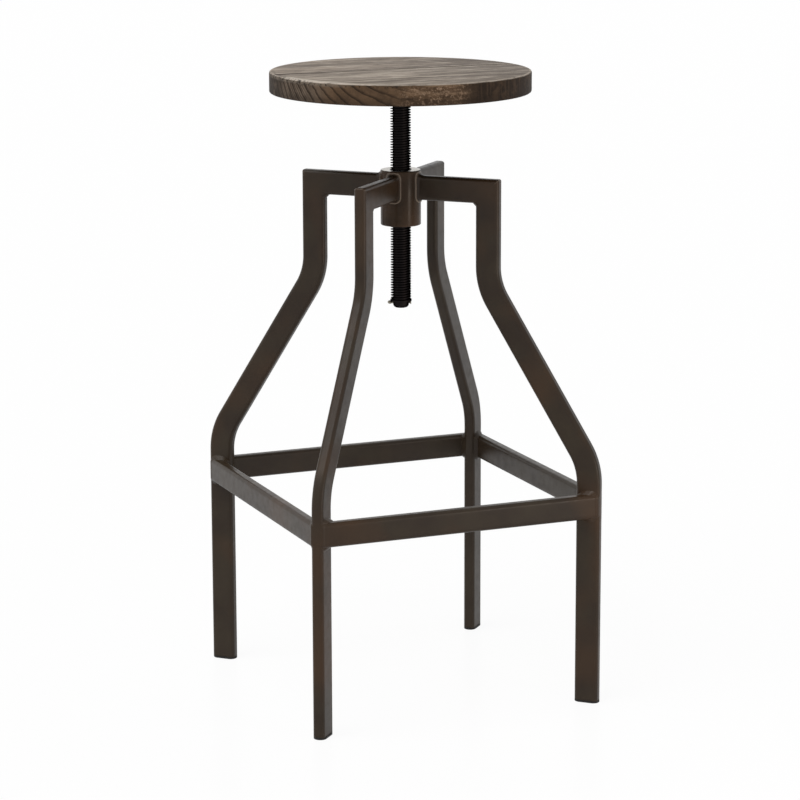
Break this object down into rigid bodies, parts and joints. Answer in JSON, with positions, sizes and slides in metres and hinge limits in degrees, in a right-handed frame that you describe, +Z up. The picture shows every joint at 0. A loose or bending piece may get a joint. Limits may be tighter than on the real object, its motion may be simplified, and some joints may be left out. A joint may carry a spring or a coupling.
{
  "type": "bar stool",
  "caption": "Height-adjustable bar stool: a round wooden seat on a threaded post, carried by a welded tube frame with bent legs and a square footrest.",
  "frame": {"origin": "on the floor, under the screw's axis", "axes": "+Z up along the screw, legs on the diagonals, +Y behind the stool"},
  "size_m": [0.3606, 0.3606, 0.732],
  "materials": {
    "bronze_lacquer": "satin lacquer",
    "black_steel": "black oxide",
    "zinc_steel": "zinc plated",
    "seat_wood": "stained and worn",
    "foot_plastic": "matte"
  },
  "bodies": {
    "frame": {"hub_collar": "bronze_lacquer", "arm_front_left": "bronze_lacquer", "arm_front_right": "bronze_lacquer", "arm_back_right": "bronze_lacquer", "arm_back_left": "bronze_lacquer", "leg_front_left": "bronze_lacquer", "leg_front_right": "bronze_lacquer", "leg_back_right": "bronze_lacquer", "leg_back_left": "bronze_lacquer", "footrest_bar_front": "bronze_lacquer", "footrest_bar_right": "bronze_lacquer", "footrest_bar_back": "bronze_lacquer", "footrest_bar_left": "bronze_lacquer", "foot_cap_front_left": "foot_plastic", "foot_cap_front_right": "foot_plastic", "foot_cap_back_right": "foot_plastic", "foot_cap_back_left": "foot_plastic", "hub_weld_beads": "bronze_lacquer", "corner_weld_beads": "bronze_lacquer", "footrest_weld_beads": "bronze_lacquer"},
    "stop_washer": {"stop_washer": "black_steel"},
    "seat": {"seat_board_front": "seat_wood", "seat_board_back": "seat_wood", "mounting_plate": "black_steel", "lead_screw": "black_steel", "screw_weld_bead": "black_steel", "wood_screws": "zinc_steel", "split_pin": "zinc_steel"}
  },
  "joints": [
    {"name": "seat_lift", "type": "slide", "parent": "frame", "child": "stop_washer", "axis": [0, 0, 1], "range_m": [-0.0765, 0.088]},
    {"name": "seat_turn", "type": "hinge", "parent": "stop_washer", "child": "seat", "pos_m": [0, 0, 0.46], "axis": [0, 0, 1], "range_deg": [-9180, 10560]}
  ],
  "couplings": [
    {"joint": "seat_lift", "follows": "seat_turn", "m_per_rad": 0.00047746}
  ]
}
